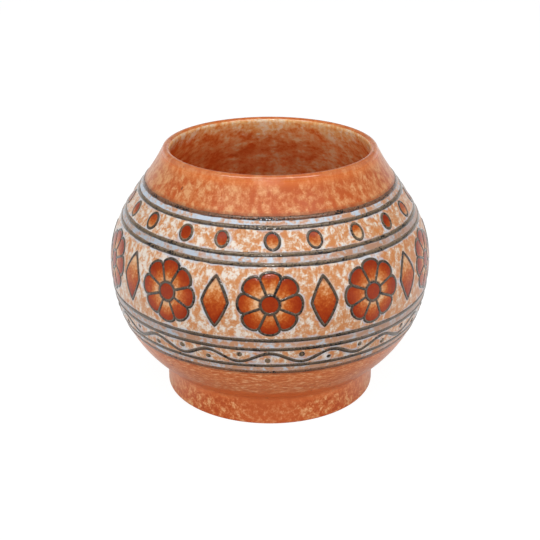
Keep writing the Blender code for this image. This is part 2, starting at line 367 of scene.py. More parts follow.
def make_lamp(name, place, width, height, power, reflected):
    data = bpy.data.lights.new(name, "AREA")
    data.shape = "RECTANGLE"
    data.size = width
    data.size_y = height
    data.energy = power
    lamp = bpy.data.objects.new(name, data)
    lamp.location = place
    lamp.rotation_euler = (LAMP_AIM - Vector(place)).to_track_quat("-Z", "Y").to_euler()
    lamp.visible_glossy = reflected
    scene.collection.objects.link(lamp)


make_camera()
for lamp in LAMPS:
    make_lamp(*lamp)
print("lamps:", [lamp[0] for lamp in LAMPS])

# %% [markdown]
# ## Room and floor
# The pot stands on white paper in a white room. More light would burn the pot out, so the white is
# painted for the camera alone, with the Light Path node: camera rays see full white, while other rays
# see a soft room. A glossy pot mirrors what is round it. Low down behind the pot its reflections find
# the white room and the bright paper, which makes its edges pale, and in front they find a dim studio,
# which leaves its colours clear.

# %% Room and floor
ROOM_LIGHT = 0.38
ROOM_SHEEN = 0.25
BACKDROP_TILT = -1.2
BACKDROP_EDGE = (0.4, 0.9)
FLOOR_SIZE = 3.0
PAPER = 0.9
PAPER_BOUNCE = 0.65
FLOOR_GLOW = 0.82
GLOW_POWER = 1.13
GLOW_EDGE = (-0.03, 0.09)


def make_room():
    """White to the camera, plain soft light on the pot; reflections show it dim but for the backdrop."""
    world = bpy.data.worlds.new("white_room")
    world.use_nodes = True
    tree = world.node_tree
    path = add(tree, "ShaderNodeLightPath")
    way = add(tree, "ShaderNodeSeparateXYZ", Vector=add(tree, "ShaderNodeTexCoord").outputs["Generated"])
    behind = calc(tree, "MULTIPLY_ADD", way.outputs["Z"], BACKDROP_TILT, way.outputs["Y"])
    seen = between(tree, behind, *BACKDROP_EDGE, ROOM_SHEEN, 1.0)
    level = between(tree, path.outputs["Is Glossy Ray"], 0.0, 1.0, ROOM_LIGHT, seen)
    level = between(tree, path.outputs["Is Camera Ray"], 0.0, 1.0, level, 1.0)
    background = tree.nodes["Background"]
    background.inputs["Color"].default_value = grey(1.0)
    tree.links.new(level, background.inputs["Strength"])
    scene.world = world


def paper_finish():
    """White paper that glows for the camera, and behind and beside the pot in reflections."""
    paper = bpy.data.materials.new("white_paper")
    paper.use_nodes = True
    tree = paper.node_tree
    tree.nodes.clear()
    path = add(tree, "ShaderNodeLightPath")
    position = add(tree, "ShaderNodeNewGeometry").outputs["Position"]
    place = add(tree, "ShaderNodeSeparateXYZ", Vector=position)
    aside = calc(tree, "ABSOLUTE", place.outputs["X"])
    behind = between(tree, calc(tree, "ADD", place.outputs["Y"], aside), *GLOW_EDGE, 0.0, FLOOR_GLOW)
    share = calc(tree, "MULTIPLY", path.outputs["Is Glossy Ray"], behind)
    share = calc(tree, "MULTIPLY_ADD", path.outputs["Is Camera Ray"], FLOOR_GLOW, share)
    tint = between(tree, path.outputs["Is Diffuse Ray"], 0.0, 1.0, PAPER, PAPER_BOUNCE)
    tint = between(tree, path.outputs["Is Glossy Ray"], 0.0, 1.0, tint, PAPER * ROOM_SHEEN)
    diffuse = add(tree, "ShaderNodeBsdfDiffuse", Color=tint)
    glow = add(tree, "ShaderNodeEmission", Strength=GLOW_POWER)
    mix = add(tree, "ShaderNodeMixShader", Fac=share)
    tree.links.new(diffuse.outputs[0], mix.inputs[1])
    tree.links.new(glow.outputs[0], mix.inputs[2])
    add(tree, "ShaderNodeOutputMaterial", Surface=mix.outputs[0])
    return paper


def make_floor():
    bm = bmesh.new()
    bmesh.ops.create_grid(bm, x_segments=1, y_segments=1, size=FLOOR_SIZE)
    mesh = bpy.data.meshes.new("floor")
    bm.to_mesh(mesh)
    bm.free()
    mesh.materials.append(paper_finish())
    floor = bpy.data.objects.new("floor", mesh)
    scene.collection.objects.link(floor)


make_room()
make_floor()
print("floor: %.0f m wide" % (2 * FLOOR_SIZE))

# %% [markdown]
# ## Slip
# The slip is a brown clay in two batches, a paler one for the broad lines and a darker one for most of
# the fine ones. Its tints run from pale on the upper side of a trail to dark on the lower side. This is
# partly the clear glaze, which runs thin over the top and gathers below, and partly painted light and
# shade, as from a lamp above that lights the top of the ridge and leaves its underside dark. Black
# specks lie in it, in clusters and as fine grains. One colour would look like wire. So a vertex
# attribute named fall says how far down the trail a point is, from 0 on its upper edge to 1 on its
# lower edge, and the five tints follow it, with ragged changes.

# %% Slip
# Tints from a trail's upper edge to its lower edge; the change from pale to dark is partly painted light
# and shade
BAND_SLIP = ((163, 139, 120), (131, 109, 87), (112, 92, 67), (83, 72, 63), (106, 99, 94))
MOTIF_SLIP = ((122, 104, 90), (96, 80, 64), (87, 71, 54), (61, 53, 48), (84, 79, 76))
SLIP_STOPS = (0.55, 0.85, 1.1, 1.4, 1.6)
SLIP_SPAN = 2.0
SLIP_WARM = srgb(130, 75, 47)
WARM_SHARE = 0.6
SLIP_PEPPER = srgb(20, 18, 18)


def beside_orange(tree):
    """How far the orange glaze has run over a trail: only over the first and the last line of the pot."""
    heights = [LINE_HEIGHT[name] / VASE_HEIGHT for name in BAND_LINES]
    low = (heights[6] + heights[7]) / 2
    high = (heights[0] + heights[1]) / 2
    warm = grey(WARM_SHARE)
    return ramp(tree, height_share(tree), (0.0, warm), (low, grey(0.0)), (high, warm), steps=True)


def slip_finish(name, tints):
    made, tree, shader = new_finish(name, 0.12, 0.11 * MM, 0.02 * MM, gloss=0.8, waves=900.0)
    # fall carries painted light and shade: pale on the upper side of a trail, dark on its lower side
    fall = attribute(tree, "fall")
    fine = sponge(tree, 1000.0, shift=0.6)
    ragged = mix_values(tree, (1.0, fall), (0.7, fine), (0.5, sponge(tree, 190.0)))
    stops = [(place / SLIP_SPAN, srgb(*tint)) for place, tint in zip(SLIP_STOPS, tints)]
    colour = ramp(tree, calc(tree, "DIVIDE", ragged, SLIP_SPAN), *stops)
    colour = blend(tree, beside_orange(tree), colour, SLIP_WARM)
    black = sponge(tree, 1300.0, shift=0.3)
    clusters = mix_values(tree, (0.6, black), (0.4, sponge(tree, 130.0, shift=0.8)))
    pepper = between(tree, mix_values(tree, (1.0, clusters), (0.08, fall)), 0.565, 0.62)
    grains = between(tree, sponge(tree, 1900.0, detail=1.0, shift=0.4), 0.52, 0.66, 0.0, 0.55)
    colour = blend(tree, calc(tree, "MAXIMUM", pepper, grains), colour, SLIP_PEPPER)
    tree.links.new(colour, shader.inputs["Base Color"])
    return made


BAND_FINISH = slip_finish("brown_slip", BAND_SLIP)
MOTIF_FINISH = slip_finish("dark_brown_slip", MOTIF_SLIP)
print("slip mixed:", BAND_FINISH.name, "and", MOTIF_FINISH.name)

# %% [markdown]
# ## Enamel
# The rust enamel was brushed into each cell: thick and dark along the slip, and thinner where the brush
# left it, so that the ground shows paler through it. Three attributes carry this. `edge` says how far in
# from the border a point is, `shade` how far along the brush stroke, and `tone` how thin the paint was
# in this cell.

# %% Enamel
ENAMEL_EDGE = srgb(98, 20, 4)
ENAMEL_TINTS = (
    (0.0, srgb(140, 40, 6)),
    (0.35, srgb(161, 59, 14)),
    (0.58, srgb(180, 84, 28)),
    (0.78, srgb(200, 126, 68)),
    (1.0, srgb(226, 188, 148)),
)


def enamel_finish():
    made, tree, shader = new_finish("rust_enamel", 0.20, 0.06 * MM, 0.02 * MM, gloss=0.25)
    cloud = mix_values(tree, (0.5, sponge(tree, 420.0, detail=4.0)), (0.5, sponge(tree, 1200.0, shift=0.4)))
    value = mix_values(tree, (0.75, attribute(tree, "shade")), (1.1, cloud), (1.0, attribute(tree, "tone")))
    colour = ramp(tree, between(tree, value, 0.4, 1.45), *ENAMEL_TINTS)
    worn = mix_values(tree, (1.0, attribute(tree, "edge")), (0.5, cloud))
    colour = blend(tree, between(tree, worn, 0.3, 0.85), ENAMEL_EDGE, colour)
    tree.links.new(colour, shader.inputs["Base Color"])
    return made


ENAMEL = enamel_finish()
print("enamel mixed with", len(ENAMEL_TINTS), "tints")

# %% [markdown]
# ## A stroke of slip
# Every line on this pot is one squeeze of the nozzle: a low rounded ridge along a path. A curve with a
# bevel could follow the path, but it would lie flat and not on the wall. So the path becomes a row of
# edges, which is extruded sideways over the ridge, step by step, each step set on the wall at its own
# lift. A last step back to the start closes the ridge below the wall. A hand never squeezes evenly, so
# the ridge swells and thins by a seeded sum of sines.

# %% Strokes
HAND = random.Random(7)
MERGE = 1e-6
TRAIL_SINK = 0.2 * MM
SECTION_STEPS = 8
MITRE_LIMIT = 1.7
SWELL = 0.13


def wander(amount, waves):
    """A closed drift of about this amount, as a function of an angle that goes once round."""
    parts = [(wave, HAND.uniform(0.0, 2 * math.pi), HAND.uniform(0.4, 1.0)) for wave in waves]
    size = amount / math.sqrt(len(parts))
    return lambda angle: size * sum(weight * np.sin(wave * angle + turn) for wave, turn, weight in parts)


def unit(rows):
    return rows / np.linalg.norm(rows, axis=1)[:, None]


def path_sides(path, lap, closed):
    """The step of one metre across the path at each point, and the path's direction there."""
    before = np.roll(path, 1, axis=0)
    after = np.roll(path, -1, axis=0)
    before[0] = path[-1] - [lap, 0.0] if closed else 2 * path[0] - path[1]
    after[-1] = path[0] + [lap, 0.0] if closed else 2 * path[-1] - path[-2]
    scale = np.column_stack([wall_at(path[:, 1])[0], np.ones(len(path))])
    leaving = unit((after - path) * scale)
    along = unit(unit((path - before) * scale) + leaving)
    mitre = np.minimum(1.0 / np.sum(along * leaving, axis=1), MITRE_LIMIT)
    return np.column_stack([-along[:, 1], along[:, 0]]) * mitre[:, None] / scale, along


def ridge_section(height):
    """Places across the ridge and their lifts, from below the wall over its crown and back."""
    foot = (-0.5, -TRAIL_SINK)
    turns = np.linspace(math.pi, 0.0, SECTION_STEPS + 1)
    crown = [(0.5 * math.cos(turn), height * math.sin(turn)) for turn in turns]
    return [foot, *crown, (0.5, -TRAIL_SINK), foot]


def neighbours(row, closed):
    return list(zip(row, row[1:] + row[:1] if closed else row[1:]))


def first_row(bm, count, closed):
    """A row of vertices joined by edges, still without their places."""
    row = [bm.verts.new() for _ in range(count)]
    for pair in neighbours(row, closed):
        bm.edges.new(pair)
    return row


def next_row(bm, row, closed):
    """The row that is extruded from the last one, in the same order."""
    edges = [bm.edges.get(pair) for pair in neighbours(row, closed)]
    grown = set(bmesh.ops.extrude_edge_only(bm, edges=edges)["geom"])
    partners = ([edge.other_vert(vert) for edge in vert.link_edges] for vert in row)
    return [next(vert for vert in near if vert in grown) for near in partners]


def stroke(bm, path, width, height, lap=0.0, closed=True, waves=(1, 2, 3, 5)):
    """Lays a ridge along (angle, depth) rows; lap is the angle that one round of a closed path gains."""
    side, along = path_sides(path, lap, closed)
    swell = 1.0 + wander(SWELL, waves)(np.linspace(0.0, 2 * math.pi, len(path), endpoint=False))
    fall = bm.verts.layers.float.get("fall") or bm.verts.layers.float.new("fall")
    rows = []
    for across, lift in ridge_section(height):
        row = next_row(bm, rows[-1], closed) if rows else first_row(bm, len(path), closed)
        spots = path + side * (across * width * swell)[:, None]
        # fall goes from 0 on a trail's upper edge to 1 on its lower edge; the slip paints it pale to dark,
        # partly as painted light and shade
        levels = 0.5 + across * along[:, 0]
        for vert, point, level in zip(row, on_wall(spots[:, 0], spots[:, 1], lift), levels):
            vert.co = point
            vert[fall] = level
        rows.append(row)
    bmesh.ops.remove_doubles(bm, verts=rows[0] + rows[-1], dist=MERGE)
    if not closed:
        bmesh.ops.holes_fill(bm, edges=[edge for edge in bm.edges if edge.is_boundary], sides=0)


print("steps over a ridge:", len(ridge_section(MM)) - 1)

# %% [markdown]
# ## From drawing to piece
# Motifs are drawn flat first, x round the pot and y up the wall, as on a strip of paper, and then placed
# on the wall. Every finished mesh takes the same last steps: doubles are merged, the faces are turned
# out, and the piece rides on the pot in place of its solid.

# %% Placing and finishing


def placed(flat, angle, depth):
    """A flat drawing, as rows of x and y, laid on the wall as rows of angle and depth."""
    down = depth - flat[:, 1]
    return np.column_stack([angle + flat[:, 0] / wall_at(down)[0], down])


def wrap(bm, angle, depth):
    """Bends a flat model onto the wall, with z as its height off the wall."""
    flat = np.array([vert.co for vert in bm.verts])
    spots = placed(flat[:, :2], angle, depth)
    for vert, point in zip(bm.verts, on_wall(spots[:, 0], spots[:, 1], flat[:, 2])):
        vert.co = point


def merge_into(target, source):
    """Adds a finished model to a larger mesh."""
    mesh = bpy.data.meshes.new("drawing")
    source.to_mesh(mesh)
    source.free()
    target.from_mesh(mesh)
    bpy.data.meshes.remove(mesh)


def make_piece(name, bm, finishes, slot, *nodes):
    """Closes the mesh, turns its faces out, and lets it ride in place of its solids."""
    bmesh.ops.remove_doubles(bm, verts=bm.verts, dist=MERGE)
    bmesh.ops.recalc_face_normals(bm, faces=bm.faces)
    mesh = bpy.data.meshes.new(name)
    bm.to_mesh(mesh)
    bm.free()
    mesh.shade_smooth()
    for finish in finishes:
        mesh.materials.append(finish)
    piece = bpy.data.objects.new(name, mesh)
    scene.collection.objects.link(piece)
    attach(piece, "root")
    if nodes:
        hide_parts(*nodes)
    return piece


print("points closer than %.3f mm are merged" % (MERGE / MM))

# %% [markdown]
# ## The lines that circle the pot
# The eight band lines were laid while the pot turned slowly on the wheel, with the nozzle held still.
# Eight tori would be too even: the hand drifts a little, so the lines do too. The four above the frieze
# are broad and brown. Below it the lines are finer, and all but the last are of the darker slip. The
# wave is the same stroke with the hand moving up and down.

# %% Band lines and wave
UPPER_WIDTH = 1.65 * MM
LOWER_WIDTH = 1.5 * MM
WAVE_WIDTH = 1.45 * MM
TRAIL_HEIGHT = 0.25 * MM
LINE_WANDER = 0.12 * MM
WAVE_COUNT = 17
WAVE_CLIMB = 4.0 * MM
CLIMB_DRIFT = 0.08
SWAY = 0.10
BAND_STEPS = 440
WAVE_STEPS = 36
WAVE_DEPTH = (DEPTH["frieze_base_line_lower"] + DEPTH["hem_line_upper"]) / 2
SLOW_WAVES = (2, 3, 5, 9)
QUICK_WAVES = (5, 13, 29, 41, 67)


def band_line(name, width, finish):
    bm = bmesh.new()
    angles = np.linspace(0.0, 2 * math.pi, BAND_STEPS, endpoint=False)
    path = np.column_stack([angles, DEPTH[name] + wander(LINE_WANDER, SLOW_WAVES)(angles)])
    stroke(bm, path, width, TRAIL_HEIGHT, lap=2 * math.pi, waves=QUICK_WAVES)
    return make_piece("trailed_" + name, bm, [finish], "band_slip", name)


def wave_line():
    bm = bmesh.new()
    angles = np.linspace(0.0, 2 * math.pi, WAVE_COUNT * WAVE_STEPS, endpoint=False)
    climb = WAVE_CLIMB / 2 * (1.0 + wander(CLIMB_DRIFT, SLOW_WAVES)(angles))
    sway = wander(SWAY, SLOW_WAVES)(angles)
    path = np.column_stack([angles, WAVE_DEPTH - climb * np.cos(WAVE_COUNT * angles + sway)])
    stroke(bm, path, WAVE_WIDTH, TRAIL_HEIGHT, lap=2 * math.pi, waves=QUICK_WAVES)
    return make_piece("trailed_wave_line", bm, [MOTIF_FINISH], "band_slip", "wave_line")


trails = [band_line(name, UPPER_WIDTH, BAND_FINISH) for name in BAND_LINES[:4]]
trails += [band_line(name, LOWER_WIDTH, MOTIF_FINISH) for name in BAND_LINES[4:7]]
trails += [band_line(name, LOWER_WIDTH, BAND_FINISH) for name in BAND_LINES[7:]]
trails.append(wave_line())
print("lines round the pot:", len(trails))

# %% [markdown]
# ## Pools of enamel
# Enamel is brushed into a cell and held there by the slip round it. A flat patch of colour on the wall
# would look printed, so each pool has a body: the cell's outline as one face, extruded and shrunk
# towards its middle a few times into a low dome, with a skirt that closes it below the surface of the
# wall. Its border lies under the middle of the slip line.

# %% Pools
POOL_SHARE = 0.97
POOL_RIM = 0.06 * MM
POOL_SINK = 0.15 * MM
# Share of the cell's size, height off the wall, and how far in from the border a ring counts
POOL_RINGS = (
    (0.88, 0.12 * MM, 0.3),
    (0.74, 0.16 * MM, 0.7),
    (0.55, 0.18 * MM, 1.0),
    (0.30, 0.19 * MM, 1.0),
)


def enamel_pool(pools, outline, angle, depth, tone, shade_of):
    """Adds one pool inside a flat outline; shade_of gives the brush's fading from x and y."""
    bm = bmesh.new()
    layers = bm.verts.layers.float
    edge_layer, shade_layer, tone_layer = (layers.new(name) for name in ("edge", "shade", "tone"))
    middle = Vector(np.mean(outline, axis=0))
    face = bm.faces.new([bm.verts.new((x, y, POOL_RIM)) for x, y in outline])
    for vert in face.verts:
        vert.co.xy = middle.lerp(vert.co.xy, POOL_SHARE)
    size = POOL_SHARE
    for share, lift, inward in POOL_RINGS:
        grown = bmesh.ops.extrude_face_region(bm, geom=[face])["geom"]
        bmesh.ops.delete(bm, geom=[face], context="FACES_ONLY")
        face = next(item for item in grown if isinstance(item, bmesh.types.BMFace))
        for vert in face.verts:
            vert.co.xy = middle.lerp(vert.co.xy, share / size)
            vert.co.z = lift
            vert[edge_layer] = inward
        size = share
    for vert in bmesh.ops.poke(bm, faces=[face])["verts"]:
        vert[edge_layer] = 1.0
    for vert in bm.verts:
        vert[shade_layer] = shade_of(vert.co.x, vert.co.y)
        vert[tone_layer] = tone
    border = [edge for edge in bm.edges if edge.is_boundary]
    skirt = bmesh.ops.extrude_edge_only(bm, edges=border)["geom"]
    for vert in (item for item in skirt if isinstance(item, bmesh.types.BMVert)):
        vert.co.z = -POOL_SINK
    bmesh.ops.holes_fill(bm, edges=[edge for edge in bm.edges if edge.is_boundary], sides=0)
    wrap(bm, angle, depth)
    merge_into(pools, bm)


print("pools have", len(POOL_RINGS), "rings")

# %% [markdown]
# ## The row of beads
# Oval beads sit between the shoulder's two pairs of lines. One bead could be copied round, but no two on
# a hand-made pot are alike. So each is an oval drawn in one stroke, leaning and stretched a little as a
# hand draws it, in whichever slip was in the nozzle. It is filled with enamel that the brush left dark
# at the top and thin below. Some were filled with a fuller brush than others.

# %% Beads
BEAD_COUNT = sum(1 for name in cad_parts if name.startswith("bead_outline"))
BEAD_STEPS = 32
BEAD_WIDTH = 5.9 * MM
BEAD_HEIGHT = 7.2 * MM
BEAD_LINE = 1.1 * MM
BEAD_DEPTH = (DEPTH["shoulder_line_lower"] + DEPTH["frieze_top_line_upper"]) / 2
BEAD_TONES = (-0.12, 0.0, 0.08, 0.35, -0.05, 0.2)
BEAD_SHADE = 0.35
BEAD_FADE = -0.7
BEAD_SHIFT = 0.025
BEAD_LEAN = 0.2
BEAD_WIDTHS = (0.92, 1.05)
BEAD_HEIGHTS = (0.95, 1.03)
BEAD_LINES = (0.85, 1.1)


def oval(width, height, lean, steps):
    turns = np.linspace(0.0, 2 * math.pi, steps, endpoint=False)
    x = width / 2 * np.sin(turns)
    y = height / 2 * np.cos(turns)
    across = x * math.cos(lean) - y * math.sin(lean)
    return np.column_stack([across, x * math.sin(lean) + y * math.cos(lean)])


def brushed(shade, fade, tall):
    """A brush's fading up or down a cell, as a function of x and y."""
    return lambda x, y: shade + fade * y / tall


def bead(index, pools):
    angle = 2 * math.pi * index / BEAD_COUNT + HAND.uniform(-BEAD_SHIFT, BEAD_SHIFT)
    wide = BEAD_WIDTH * HAND.uniform(*BEAD_WIDTHS) - BEAD_LINE
    tall = BEAD_HEIGHT * HAND.uniform(*BEAD_HEIGHTS) - BEAD_LINE
    outline = oval(wide, tall, HAND.uniform(-BEAD_LEAN, BEAD_LEAN), BEAD_STEPS)
    bm = bmesh.new()
    stroke(bm, placed(outline, angle, BEAD_DEPTH), BEAD_LINE * HAND.uniform(*BEAD_LINES), TRAIL_HEIGHT)
    tone = HAND.choice(BEAD_TONES)
    enamel_pool(pools, outline, angle, BEAD_DEPTH, tone, brushed(BEAD_SHADE, BEAD_FADE, tall))
    finish = HAND.choice((BAND_FINISH, MOTIF_FINISH))
    name = f"bead_outline_{index + 1:02d}"
    return make_piece("trailed_" + name, bm, [finish], "motif_slip", name)


bead_pools = bmesh.new()
trails += [bead(index, bead_pools) for index in range(BEAD_COUNT)]
make_piece("bead_enamel", bead_pools, [ENAMEL], "body_glaze")
print("beads:", BEAD_COUNT)

# %% [markdown]
# ## The drawing of a rosette
# The wide frieze carries a plain border of eight-petalled rosettes with a lozenge between each two. A
# rosette could be one disc with holes cut in it, but a potter draws it in ten strokes: the lobed rim, the
# hub and eight spokes. So it is drawn flat first, as the lines that the nozzle follows.

# %% Drawing of a rosette
ROSETTE_COUNT = sum(1 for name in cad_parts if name.startswith("rosette_outline"))
PETAL_COUNT = 8
LOBE_STEPS = 12
HUB_STEPS = 3
HUB_RADIUS = 3.4 * MM
PETAL_RISE = 2.2 * MM
PETAL_RISES = (0.85, 1.1)
ROSETTE_RADIUS = 11.8 * MM
ROSETTE_TURN = 0.06
FRIEZE_DEPTH = (DEPTH["frieze_top_line_lower"] + DEPTH["frieze_base_line_upper"]) / 2


def polar(radius, turn):
    return np.column_stack([radius * np.sin(turn), radius * np.cos(turn)])


def rosette_drawing():
    """The turns of the valleys between petals, the lobes of the rim and the ring of the hub, drawn flat."""
    pitch = 2 * math.pi / PETAL_COUNT
    valleys = HAND.uniform(-ROSETTE_TURN, ROSETTE_TURN) + pitch * (np.arange(PETAL_COUNT) - 0.5)
    across = np.arange(LOBE_STEPS) / LOBE_STEPS
    bulge = np.sqrt(1.0 - (2.0 * across - 1.0) ** 2)
    lobes = []
    for valley in valleys:
        rise = PETAL_RISE * HAND.uniform(*PETAL_RISES) * bulge
        lobes.append(polar(ROSETTE_RADIUS - PETAL_RISE + rise, valley + pitch * across))
    hub = polar(HUB_RADIUS, valleys[0] + np.arange(PETAL_COUNT * HUB_STEPS) * pitch / HUB_STEPS)
    return valleys, lobes, hub


print("petals on a rosette:", PETAL_COUNT)

# %% [markdown]
# ## Slip and enamel of a rosette
# The same drawing serves twice. Its lines are trailed with slip one after the other, so that they run
# into each other as wet slip does. Its cells, one for each petal and one for the hub, are filled with
# enamel, which is dark at the petals' tips and fades towards the hub.

# %% Rosettes
MOTIF_LINE = 1.1 * MM
SPOKE_STEPS = 6
LOBE_WAVES = (3, 7, 12)
PETAL_TONES = (-0.08, 0.1)
HUB_TONE = -0.1
HUB_SHADE = 0.25


def petal_shade(x, y):
    """From 0 at the tip of a petal to 1 at the hub."""
    return (ROSETTE_RADIUS - math.hypot(x, y)) / (ROSETTE_RADIUS - HUB_RADIUS)


def rosette_trails(angle, valleys, lobes, hub):
    bm = bmesh.new()
    rim = placed(np.concatenate(lobes), angle, FRIEZE_DEPTH)
    stroke(bm, rim, MOTIF_LINE, TRAIL_HEIGHT, waves=LOBE_WAVES)
    stroke(bm, placed(hub, angle, FRIEZE_DEPTH), MOTIF_LINE, TRAIL_HEIGHT)
    reach = np.linspace(HUB_RADIUS, ROSETTE_RADIUS - PETAL_RISE, SPOKE_STEPS + 1)
    for valley in valleys:
        spoke = placed(polar(reach, valley), angle, FRIEZE_DEPTH)
        stroke(bm, spoke, MOTIF_LINE, TRAIL_HEIGHT, closed=False)
    return bm


def fill_petals(pools, angle, lobes, hub):
    for step, lobe in enumerate(lobes):
        following = lobes[(step + 1) % PETAL_COUNT][:1]
        arc = hub[np.arange(step * HUB_STEPS, (step + 1) * HUB_STEPS + 1) % len(hub)]
        cell = np.concatenate([lobe, following, arc[::-1]])
        enamel_pool(pools, cell, angle, FRIEZE_DEPTH, HAND.uniform(*PETAL_TONES), petal_shade)
    enamel_pool(pools, hub, angle, FRIEZE_DEPTH, HUB_TONE, lambda x, y: HUB_SHADE)


def rosette(index, pools):
    angle = 2 * math.pi * index / ROSETTE_COUNT
    valleys, lobes, hub = rosette_drawing()
    bm = rosette_trails(angle, valleys, lobes, hub)
    fill_petals(pools, angle, lobes, hub)
    name = f"rosette_outline_{index + 1:02d}"
    return make_piece("trailed_" + name, bm, [MOTIF_FINISH], "motif_slip", name)


rosette_pools = bmesh.new()
trails += [rosette(index, rosette_pools) for index in range(ROSETTE_COUNT)]
make_piece("rosette_enamel", rosette_pools, [ENAMEL], "body_glaze")
print("rosettes:", ROSETTE_COUNT)

# %% [markdown]
# ## Lozenges of the frieze
# The lozenge is one stroke too. Four straight sides would have hard corners that no nozzle can turn, so
# the path is a superellipse, the curve between an oval and a rhomb, with soft tips and slightly bowed
# sides. The brush went in at its foot and faded upwards.

# %% Lozenges
LOZENGE_WIDTH = 10.9 * MM
LOZENGE_HEIGHT = 19.6 * MM
LOZENGE_STEPS = 56
LOZENGE_POWER = 1.2
LOZENGE_SHIFT = 0.01
LOZENGE_WIDTHS = (0.95, 1.03)
LOZENGE_TONES = (-0.05, 0.1)
LOZENGE_SHADE = 0.5
LOZENGE_FADE = 1.1


def rounded(wave):
    """A sine or cosine drawn in towards the corners of the rhomb."""
    return np.sign(wave) * np.abs(wave) ** (2 / LOZENGE_POWER)


def lozenge(index, pools):
    angle = 2 * math.pi * (index + 0.5) / ROSETTE_COUNT + HAND.uniform(-LOZENGE_SHIFT, LOZENGE_SHIFT)
    wide = (LOZENGE_WIDTH - MOTIF_LINE) * HAND.uniform(*LOZENGE_WIDTHS)
    tall = LOZENGE_HEIGHT - MOTIF_LINE
    turns = np.linspace(0.0, 2 * math.pi, LOZENGE_STEPS, endpoint=False)
    outline = np.column_stack([wide / 2 * rounded(np.sin(turns)), tall / 2 * rounded(np.cos(turns))])
    bm = bmesh.new()
    stroke(bm, placed(outline, angle, FRIEZE_DEPTH), MOTIF_LINE, TRAIL_HEIGHT)
    tone = HAND.uniform(*LOZENGE_TONES)
    enamel_pool(pools, outline, angle, FRIEZE_DEPTH, tone, brushed(LOZENGE_SHADE, LOZENGE_FADE, tall))
    name = f"lozenge_outline_{index + 1:02d}"
    return make_piece("trailed_" + name, bm, [MOTIF_FINISH], "motif_slip", name)


lozenge_pools = bmesh.new()
trails += [lozenge(index, lozenge_pools) for index in range(ROSETTE_COUNT)]
make_piece("lozenge_enamel", lozenge_pools, [ENAMEL], "body_glaze")
print("lozenges:", ROSETTE_COUNT)

# %% [markdown]
# ## Dots beside the wave
# One dot of slip was let fall under each crest of the wave and over each trough. Each is a small sphere,
# flattened and half sunk in the wall, which needs few faces and is round from every side.

# %% Dots
DOT_RADIUS = 1.12 * MM
DOT_HEIGHT_SHARE = 0.3
DOT_OFFSET = 1.3 * MM
DOT_FALL = 0.45
DOT_SHIFT = 0.015
DOT_SIZES = (0.75, 1.1)
DOT_STRETCH = (0.85, 1.1)


def wave_dots():
    dots = bmesh.new()
    fall = dots.verts.layers.float.new("fall")
    for step in range(2 * WAVE_COUNT):
        bm = bmesh.new()
        bmesh.ops.create_icosphere(bm, subdivisions=2, radius=DOT_RADIUS * HAND.uniform(*DOT_SIZES))
        bmesh.ops.scale(bm, verts=bm.verts, vec=(1.0, HAND.uniform(*DOT_STRETCH), DOT_HEIGHT_SHARE))
        side = 1 if step % 2 == 0 else -1
        angle = math.pi * step / WAVE_COUNT + HAND.uniform(-DOT_SHIFT, DOT_SHIFT)
        wrap(bm, angle, WAVE_DEPTH + side * DOT_OFFSET)
        merge_into(dots, bm)
    # The dots take one middle place on the slip's pale-to-dark change, its painted light and shade
    for vert in dots.verts:
        vert[fall] = DOT_FALL
    return make_piece("trailed_wave_dots", dots, [BAND_FINISH], "band_slip")


trails.append(wave_dots())
print("trailed pieces:", len(trails))

# %% [markdown]
# ## Colours of the shoulder and the belly
# The shoulder and the belly below the lines were sponged orange over a paler ground. A painted picture
# could be wrapped round them, but noise has no seam. On the shoulder the dabs are upright, and the
# orange is brighter at the lip. The shoulder's orange is also painted lighter towards the sides and a
# little darker at the front, a painted light where the lamps reach it less. On the belly the sponge
# was dragged round the turning pot, so its noise is squeezed into level streaks. At the belly's foot a
# deeper band is partly glaze that pooled there and partly painted shade on the belly's underside.

# %% Shoulder and belly
LIP_ORANGE = srgb(228, 122, 52)
POOLED_SHADE_ORANGE = srgb(208, 99, 45)
SHOULDER_TINTS = (
    (0.427, srgb(190, 87, 36)),
    (0.473, srgb(199, 108, 55)),
    (0.527, srgb(207, 126, 75)),
    (0.592, srgb(221, 159, 108)),
)
BELLY_TINTS = (
    (0.42, srgb(196, 98, 48)),
    (0.51, srgb(211, 119, 66)),
    (0.57, srgb(223, 145, 93)),
    (0.62, srgb(238, 182, 137)),
)


def shoulder_colour(tree, up):
    dabs = sponge(tree, 460.0, stretch=(1.0, 1.0, 0.6), distortion=0.15, shift=0.9)
    drift = sponge(tree, 120.0, detail=1.0, shift=0.25)
    value = mix_values(tree, (0.6, dabs), (0.22, sponge(tree, 1700.0, shift=0.2)), (0.18, drift))
    across = share_along(tree, "X", BELLY_RADIUS)
    # Painted light: lighter towards the sides and a little darker at the front; also a little lighter to
    # the left
    sides = between(tree, calc(tree, "ABSOLUTE", across), 0.2, 0.8, -0.012, 0.024)
    left = between(tree, across, -0.05, -0.35, 0.0, 0.014)
    value = mix_values(tree, (1.0, value), (1.0, sides), (1.0, left))
    colour = ramp(tree, value, *SHOULDER_TINTS)
    return blend(tree, between(tree, up, 0.95, 0.985, 0.0, 0.5), colour, LIP_ORANGE)


def belly_colour(tree, up):
    streaks = sponge(tree, 380.0, stretch=(1.0, 1.0, 4.5), shift=0.7)
    fine = sponge(tree, 1100.0, stretch=(1.0, 1.0, 2.5), shift=0.45)
    colour = ramp(tree, mix_values(tree, (0.7, streaks), (0.3, fine)), *BELLY_TINTS)
    ragged = mix_values(tree, (1.0, up), (0.03, sponge(tree, 140.0, detail=2.0, shift=1.3)))
    # A deeper band at the foot of the belly: partly pooled glaze, partly painted shade on the belly's
    # underside
    return blend(tree, between(tree, ragged, 0.196, 0.182, 0.0, 0.85), colour, POOLED_SHADE_ORANGE)


print("orange tints:", len(SHOULDER_TINTS) + len(BELLY_TINTS))

